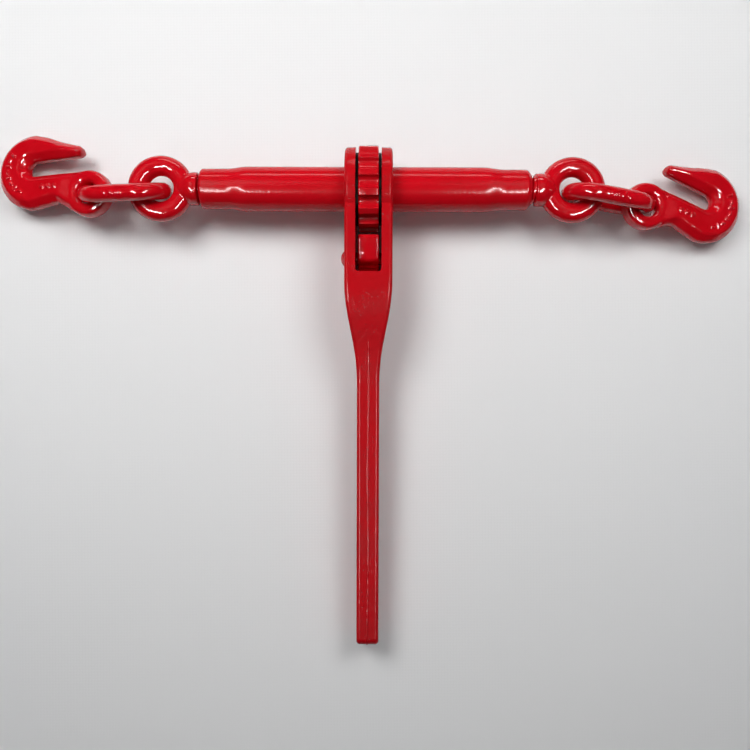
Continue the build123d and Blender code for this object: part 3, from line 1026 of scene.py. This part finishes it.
@dataclass
class EyeBolt:
    """A ring, a flared shank and a screw in one forging. X runs from the ring towards the barrel."""

    side: Side
    ring_radius: float = 17.5
    wire_radius: float = 7.7
    shank_radius: float = 12.5
    shoulder: float = 29.3
    crest_radius: float = 11.0
    root_radius: float = 8.7
    thread_pitch: float = 6.35
    screw_length: float = 122.0
    screw_end_break: float = 1.5
    rows_per_turn: int = 16
    columns: int = 72
    voxel: float = 0.7
    smoothing: int = 8

    def axes(self) -> Axes:
        """Axes about the ring's centre."""
        box = node_box(f"{self.side.word}_eye_bolt")
        reach = self.ring_radius + self.wire_radius
        outer = box[0, 0] + reach if self.side is Side.LEFT else box[1, 0] - reach
        centre = np.array([outer, *(box[0, 1:] + box[1, 1:]) / 2])
        inward = np.array([-float(self.side.value), 0.0, 0.0])
        up = np.array([0.0, 0.0, 1.0])
        return Axes(centre, np.stack([inward, np.cross(up, inward), up]))

    def shank(self) -> Shell:
        """The shank, flared out of the ring and ending in a rounded shoulder."""
        root = self.ring_radius - 3.0
        corners = np.array([
            (root, 0.3), (root, 8.0), (root + 4.2, 10.6), (root + 8.4, self.shank_radius),
            (self.shoulder, self.shank_radius), (self.shoulder, 0.3),
        ])
        cuts = np.array([0.1, 1.5, 2.5, 2.5, 1.8, 0.1])
        return lathe(round_corners(corners, cuts, 6), 96)

    def screw(self) -> Shell:
        """The rolled thread: a helical wave on a rod.

        The radius is root + (crest - root) w, where w is a rounded ramp of the place along the turn,
        x / pitch plus or minus angle / (2 pi), and the inner end runs out to the root.

        Returns:
            The screw, its inner end closed.
        """
        rows, columns = self.rows_per_turn * int(self.screw_length / self.thread_pitch), self.columns
        start = self.shoulder - 3.0
        x = np.linspace(start, self.shoulder + self.screw_length, rows)[:, None]
        angle = full_turn(columns)[None, :]
        hand = -1.0 if self.side is Side.LEFT else 1.0
        phase = (x / self.thread_pitch + hand * angle / TURN) % 1.0
        flank = np.abs(2.0 * phase - 1.0)
        wave = np.clip((flank - 0.22) / 0.56, 0, 1)
        wave = wave * wave * (3 - 2 * wave)
        end = self.shoulder + self.screw_length
        run_out = np.clip((end - x) / (2 * self.screw_end_break), 0, 1)
        radius = self.root_radius + (self.crest_radius - self.root_radius) * wave * run_out
        points = np.stack([x + 0 * angle, radius * np.cos(angle), radius * np.sin(angle)], -1)
        return grid_shell(points)

    def build(self) -> None:
        """Build the bolt, and dress its stop pin."""
        ring = ring_shell(self.ring_radius, self.wire_radius, self.wire_radius)
        forging = fused(joined([ring, self.shank()]), self.voxel, self.smoothing)
        bolt = joined([forging, self.screw()]).placed(self.axes())
        word = self.side.word
        body = f"{word}_eye_bolt"
        show(f"{word}_ring_and_screw", bolt, BOLT_ENAMEL, body, body)
        dress_node(f"{word}_stop_pin", PIN_STEEL)


@dataclass
class ChainLink:
    """An oval link of round wire, welded in one of its straight sides."""

    side: Side
    yaw: float
    pitch: float = 10.5
    wire_radius: float = 6.35
    end_radius: float = 15.6
    straight: float = 29.0
    ring_radius: float = 17.5
    inside_ring: float = 1.5
    weld_swell: float = 0.38
    weld_half_angle: float = 0.30
    weld_half_length: float = 9.0
    crest_waves: tuple[tuple[float, float, float], ...] = ((0.16, 0.9, 0.4), (0.10, 2.3, 1.1), (0.06, 4.1, 0.0))
    stations: int = 320
    columns: int = 64

    def axes(self) -> Axes:
        """Axes about the near end's wire: along the link, across it in its plane, and its normal."""
        name = f"{self.side.word}_link_swing"
        turn = math.radians(self.yaw)
        heading = self.side.value * np.array([math.cos(turn), math.sin(turn), 0.0])
        droop = math.radians(self.pitch)
        along = heading * math.cos(droop) - np.array([0.0, 0.0, math.sin(droop)])
        normal = unit(np.array(joint(name)["axis"], float))
        back = self.ring_radius + self.inside_ring
        near = joint_place(name) - back * heading + np.array([0.0, 0.0, back * math.tan(droop)])
        return Axes(near, np.stack([along, np.cross(normal, along), normal]))

    def path(self) -> tuple[np.ndarray, np.ndarray, np.ndarray]:
        """The wire's middle line, a stadium walked at an even pace.

        Each quarter is a straight or a half circle: the point is the near or far centre plus the end
        radius times the outward unit vector, which turns only on the half circles.

        Returns:
            The points, their outward unit vectors and how far each is along the line.
        """
        half_turn = math.pi * self.end_radius
        length = 2 * (self.straight + half_turn)
        s = np.arange(self.stations) * length / self.stations
        near, far = self.end_radius, self.end_radius + self.straight
        first = np.clip(s, 0, self.straight)
        second = np.clip(s - self.straight, 0, half_turn)
        third = np.clip(s - self.straight - half_turn, 0, self.straight)
        fourth = np.clip(s - 2 * self.straight - half_turn, 0, half_turn)
        angle = math.pi / 2 - (second + fourth) / self.end_radius
        outward = np.stack([np.cos(angle), np.sin(angle), 0 * s], -1)
        centre = near + first - third
        centre = np.clip(centre, near, far)
        points = np.stack([centre, 0 * s, 0 * s], -1) + self.end_radius * outward
        return points, outward, s

    def build(self) -> None:
        """Build the link: a round section along the path, with a wandering bead along the weld.

        The radius is the wire's, plus the swell (exp of minus the fourth power of the distance from the
        weld's middle) times a bell of the angle from a crest that wanders with the distance.
        """
        points, outward, s = self.path()
        from_weld = (s - self.straight / 2) / self.weld_half_length
        swell = self.weld_swell * np.exp(-(from_weld**4))[:, None]
        angle = full_turn(self.columns)
        crest = sum(height * np.sin(rate * s + phase) for height, rate, phase in self.crest_waves)
        from_crest = (angle[None, :] + math.pi) % TURN - math.pi - crest[:, None]
        bead = np.exp(-((from_crest / self.weld_half_angle) ** 2)) * (1 + 0.35 * np.sin(2.9 * s)[:, None])
        radius = self.wire_radius + swell * (0.25 + bead)
        sections = radius[..., None] * np.stack([np.cos(angle), np.sin(angle)], -1)
        shell = swept(points, outward, upright(len(s)), sections, loop=True)
        word = self.side.word
        body = f"{word}_link"
        show(f"{word}_welded_link", shell.placed(self.axes()), LINK_ENAMEL, body, body)


@dataclass
class GrabHook:
    """A forged grab hook. u runs from the eye out to the bend, v from the shank to the prong."""

    side: Side
    eye_centre_radius: float = 12.95
    eye_half_width: float = 5.15
    eye_half_thickness: float = 7.0
    eye_power: float = 0.72
    half_thickness: float = 8.5
    land: float = 3.0
    slope: float = 5.5
    bend_centre: tuple[float, float] = (47.5, 18.9)
    bend_radius: float = 29.8
    throat_centre: tuple[float, float] = (46.5, 21.3)
    throat_radius: float = 5.9
    tip_centre: tuple[float, float] = (12.0, 34.3)
    tip_radius: float = 4.5
    land_round: float = 2.0
    top_round: float = 1.8
    shank_inner: Knots = ((12.5, 17.2), (28, 16.6))
    shank_outer: Knots = ((14.2, -12.6), (17.8, -10.2), (25.5, -6.6), (36, -8.4))
    prong_inner: Knots = ((28, 28.6),)
    prong_outer: Knots = ((37, 46.4), (27, 42.9))
    edge_steps: int = 40
    bend_steps: int = 64
    slope_share: float = 0.40
    land_share: float = 0.55
    thin_by_eye: float = 1.6
    thin_length: float = 12.0
    shoulder_flat: float = 0.45
    mark_height: float = 1.0
    mark_root: float = 3.0
    mark_half_width: float = 0.95
    bar_crown_share: float = 0.75
    bar_turns: tuple[int, ...] = (-66, -51, -36, -21, -6, 9, 24, 39)
    bar_radius: float = 18.5
    bar_lengths: tuple[float, float] = (3.4, 4.6)
    pip_row: tuple[float, float] = (25.5, 5.0)
    pip_pitch: float = 5.2
    pip_radius: float = 1.6
    pips: int = 3
    voxel: float = 0.5
    smoothing: int = 3

    def axes(self) -> Axes:
        """Axes about the eye's centre, the third pointing up."""
        word = self.side.word
        up = unit(np.array(joint(f"{word}_hook_swing")["axis"], float))
        along = -mount_axis(f"{word}_hook_throat")
        across = self.side.value * np.cross(up, along)
        return Axes(joint_place(f"{word}_hook_swing"), np.stack([along, across, up]))

    def edges(self) -> tuple[np.ndarray, np.ndarray]:
        """The two edges of the hook's strip, from the eye round to the tip, station by station.

        The shank and prong run between smooth lines, the bend between the throat's half circle and the
        outer one, and the tip is a quarter turn on each side of its centre.

        Returns:
            Inner and outer edge points, stations x 2.
        """
        centre, radius = np.array(self.tip_centre), self.tip_radius
        bend_u, bend_v = self.bend_centre
        throat_u, throat_v = self.throat_centre
        steps = self.edge_steps
        shank_in = through([*self.shank_inner, (throat_u, throat_v - self.throat_radius)], steps)
        bend_foot = (bend_u, bend_v - self.bend_radius)
        shank_out = through([*self.shank_outer, bend_foot], steps)
        bend_in = arc(self.throat_centre, self.throat_radius, -90, 90, self.bend_steps)
        bend_out = arc(self.bend_centre, self.bend_radius, -90, 90, self.bend_steps)
        throat_head = (throat_u, throat_v + self.throat_radius)
        prong_in = through([throat_head, *self.prong_inner, tuple(centre + (0, -radius))], steps)
        bend_head = (bend_u, bend_v + self.bend_radius)
        prong_out = through([bend_head, *self.prong_outer, tuple(centre + (0, radius))], steps)
        lean = np.radians(np.linspace(4, 88, 16))
        tip_in = centre + radius * np.stack([-np.sin(lean), -np.cos(lean)], -1)
        tip_out = centre + radius * np.stack([-np.sin(lean), np.cos(lean)], -1)
        inner = np.concatenate([shank_in, bend_in[1:], prong_in[1:], tip_in])
        outer = np.concatenate([shank_out, bend_out[1:], prong_out[1:], tip_out])
        return inner, outer

    def strip(self) -> Shell:
        """The hook's body: an eight-sided section with rounded corners, stretched between the edges.

        At each station the section has an upright land at each edge, a slope and a flat top. Where the
        strip is narrow the slopes meet sooner, so the hook thins towards its tip.

        Returns:
            The shell, in the hook's axes.
        """
        inner, outer = self.edges()
        width = np.linalg.norm(outer - inner, axis=1)
        middle = (inner + outer) / 2
        from_eye = np.linalg.norm(middle, axis=1)
        ramp = np.clip((from_eye - self.thin_length) / self.thin_length, 0, 1)
        full = self.half_thickness - self.thin_by_eye * (1 - ramp * ramp * (3 - 2 * ramp))
        slope = np.minimum(self.slope, self.slope_share * width)
        land = np.minimum(self.land, self.land_share * width)
        top = np.minimum(full, land + slope)
        across = np.stack([0 * width, 0 * width, slope, width - slope, width, width, width - slope, slope], -1)
        height = np.stack([-land, land, top, top, land, -land, -top, -top], -1)
        corners = np.stack([across, height], -1)
        cuts = [self.land_round, self.land_round, self.top_round, self.top_round] * 2
        return flat_ribbon(inner, outer, corners, cuts)

    def shoulder(self) -> Shell:
        """The web that fills the corner between the eye and the inner edge of the shank.

        Its one edge follows the middle of the eye's ring, the other runs level from the eye's side to the
        strip's first station; its section is flat-topped with a rounded outer edge.

        Returns:
            The shell, in the hook's axes.
        """
        reach = self.eye_centre_radius + self.eye_half_width
        lower = arc((0.0, 0.0), self.eye_centre_radius, 96, 44, 24)
        upper = through([(-1.5, reach - 0.25), (6.0, reach - 0.3), (14.5, 17.1)], 24)
        width = np.linalg.norm(upper - lower, axis=1)
        top, land = self.eye_half_thickness - 0.2 + 0 * width, self.land + 0 * width
        middle = self.shoulder_flat * width
        across = np.stack([0 * width, 0 * width, middle, width, width, middle], -1)
        height = np.stack([-top, top, top, land, -land, -top], -1)
        corners = np.stack([across, height], -1)
        return flat_ribbon(lower, upper, corners, [0.3, 0.3, 1.4, 1.8, 1.8, 1.4])

    def eye(self) -> Shell:
        """The eye: a ring with a rounded square section."""
        return ring_shell(self.eye_centre_radius, self.eye_half_width, self.eye_half_thickness, self.eye_power)

    def pip(self, u: float, v: float, radius: float) -> Shell:
        """A raised round mark on the flat top."""
        crown = self.half_thickness + self.mark_height
        root = crown - self.mark_root
        corners = np.array([(0.02, root), (radius, root), (radius, crown), (0.02, crown)])
        outline = round_corners(corners, np.array([0.01, 0.1, 0.5, 0.01]), 4)
        shell = lathe(outline[:, ::-1], 24)
        return Shell(shell.points[:, [1, 2, 0]], shell.quads, shell.tris).moved((u, v, 0.0))

    def bar(self, u: float, v: float, turn: float, length: float) -> Shell:
        """A raised bar on the flat top, with round ends.

        Args:
            u: the bar's middle, along the hook.
            v: the bar's middle, across the hook.
            turn: its direction from u, in degrees.
            length: its length.

        Returns:
            The bar, in the hook's axes.
        """
        s = np.linspace(-1, 1, 15)
        half = self.mark_half_width * np.sqrt(np.clip(1 - s**6, 0.03, 1))
        crown = 0 * s + self.half_thickness + self.mark_height
        root, top = crown - self.mark_root, self.bar_crown_share * half
        corners = np.stack([np.stack([-half, half, top, -top], -1), np.stack([root, root, crown, crown], -1)], -1)
        sections = round_corners(corners, np.full(corners.shape[:2], 0.3), 3)
        heading = np.array([math.cos(math.radians(turn)), math.sin(math.radians(turn)), 0.0])
        path = np.array([u, v, 0.0]) + s[:, None] * heading * length / 2
        side = np.tile(np.cross([0.0, 0.0, 1.0], heading), (len(s), 1))
        return swept(path, side, upright(len(s)), sections, loop=False)

    def marks(self) -> list[Shell]:
        """Plain raised marks: a fan of bars round the bend, and a row of pips on the shank."""
        bend = np.array(self.bend_centre)
        shells = []
        for number, turn in enumerate(self.bar_turns):
            heading = math.radians(turn)
            at = bend + self.bar_radius * np.array([math.cos(heading), math.sin(heading)])
            outward = number % 2
            shells.append(self.bar(at[0], at[1], turn if outward else turn + 90, self.bar_lengths[outward]))
        for number in range(self.pips):
            shells.append(self.pip(self.pip_row[0] + self.pip_pitch * number, self.pip_row[1], self.pip_radius))
        return shells

    def build(self) -> None:
        """Build the hook as one forged skin."""
        skin = fused(joined([self.strip(), self.shoulder(), self.eye(), *self.marks()]), self.voxel, self.smoothing)
        word = self.side.word
        body = f"{word}_hook"
        show(f"{word}_forged_hook", skin.placed(self.axes()), HOOK_ENAMEL, body, body)


# ---------------------------------------------------------------- floor, light and camera


@dataclass
class Studio:
    """A pale cloth-like floor, soft overhead light and the camera."""

    camera_place: tuple[float, float, float] = (0.0052, 0.0097, 0.620)
    lens: float = 37.0
    roll: float = 0.2
    floor_size: float = 6.0
    weave_scale: float = 260.0
    sensor_width: float = 36.0
    fill_colour: tuple[float, float, float] = (0.93, 0.96, 1.0)
    fill_strength: float = 0.12
    aim: tuple[float, float, float] = (0.0, 0.10, 0.0)

    def floor(self) -> None:
        """Lay the floor at zero height, with a faint fine weave."""
        half = self.floor_size / 2
        mesh = bpy.data.meshes.new("floor")
        mesh.from_pydata([(-half, -half, 0), (half, -half, 0), (half, half, 0), (-half, half, 0)], [], [(0, 1, 2, 3)])
        floor = bpy.data.objects.new("floor", mesh)
        bpy.context.scene.collection.objects.link(floor)
        tree, shader, where = start_material("pale_floor")
        values = {"Vector": where, "Scale": self.weave_scale, "Distortion": 0.4}
        waves = [tree.add("ShaderNodeTexWave", values, bands_direction=axis).outputs["Fac"] for axis in ("X", "Y")]
        weave = tree.maths("MULTIPLY", *waves)
        shade = tree.mixed(tree.spread(weave, 0.0, 1.0, 0.0, 0.35), (0.80, 0.80, 0.80, 1), (0.74, 0.74, 0.745, 1))
        tree.link(shade, shader.inputs["Base Color"])
        shader.inputs["Roughness"].default_value = 0.85
        shader.inputs["Specular IOR Level"].default_value = 0.2
        bump = tree.add("ShaderNodeBump", {"Height": weave, "Distance": 0.00006})
        tree.link(bump.outputs["Normal"], shader.inputs["Normal"])
        mesh.materials.append(bpy.data.materials["pale_floor"])

    def light(
        self, name: str, place: tuple[float, float, float], size: tuple[float, float], power: float, gloss: bool
    ) -> None:
        """Hang an area light that faces the binder, for its body light or for its gloss.

        Args:
            name: the light's name.
            place: where it hangs, in metres.
            size: its width and height, in metres.
            power: its power, in watts.
            gloss: True where it only shows as a highlight, False where it only lights surfaces.
        """
        data = bpy.data.lights.new(name, "AREA")
        data.shape = "RECTANGLE"
        data.size, data.size_y = size
        data.energy = power
        lamp = bpy.data.objects.new(name, data)
        bpy.context.scene.collection.objects.link(lamp)
        lamp.location = place
        lamp.rotation_euler = (Vector(self.aim) - Vector(place)).to_track_quat("-Z", "Y").to_euler()
        lamp.visible_glossy = gloss
        lamp.visible_diffuse = not gloss

    def camera(self) -> None:
        """Set the camera straight above the object."""
        data = bpy.data.cameras.new("camera")
        data.lens = self.lens
        data.sensor_width = self.sensor_width
        camera = bpy.data.objects.new("camera", data)
        bpy.context.scene.collection.objects.link(camera)
        camera.location = self.camera_place
        camera.rotation_euler = (0.0, 0.0, math.radians(self.roll))
        bpy.context.scene.camera = camera

    def build(self) -> None:
        """Build the floor, the lights, the fill and the camera."""
        self.floor()
        self.light("left_softbox", (-0.38, 0.44, 0.80), (0.40, 0.46), 6.0, False)
        self.light("right_softbox", (0.40, 0.44, 0.80), (0.40, 0.46), 4.0, False)
        self.light("left_tube", (-0.90, -0.45, 2.20), (1.30, 0.17), 56.0, True)
        self.light("right_tube", (0.90, -0.45, 2.20), (1.30, 0.17), 56.0, True)
        self.light("window", (0.0, 2.20, 0.90), (1.60, 0.16), 9.0, True)
        world = bpy.data.worlds.new("fill")
        world.use_nodes = True
        background = world.node_tree.nodes["Background"]
        background.inputs["Color"].default_value = (*self.fill_colour, 1)
        background.inputs["Strength"].default_value = self.fill_strength
        world.cycles_visibility.glossy = False
        bpy.context.scene.world = world
        bpy.context.scene.view_settings.view_transform = "Standard"
        self.camera()


def main() -> None:
    """Build the binder, piece by piece, and then the studio."""
    BarrelGroup().build()
    HandleGroup().build()
    Pawl().build()
    for side, yaw in ((Side.LEFT, 0.0), (Side.RIGHT, -7.5)):
        EyeBolt(side).build()
        ChainLink(side, yaw).build()
        GrabHook(side).build()
    Studio().build()


if __name__ == "__main__":
    logging.basicConfig(level=logging.INFO, format="%(message)s")
    main()
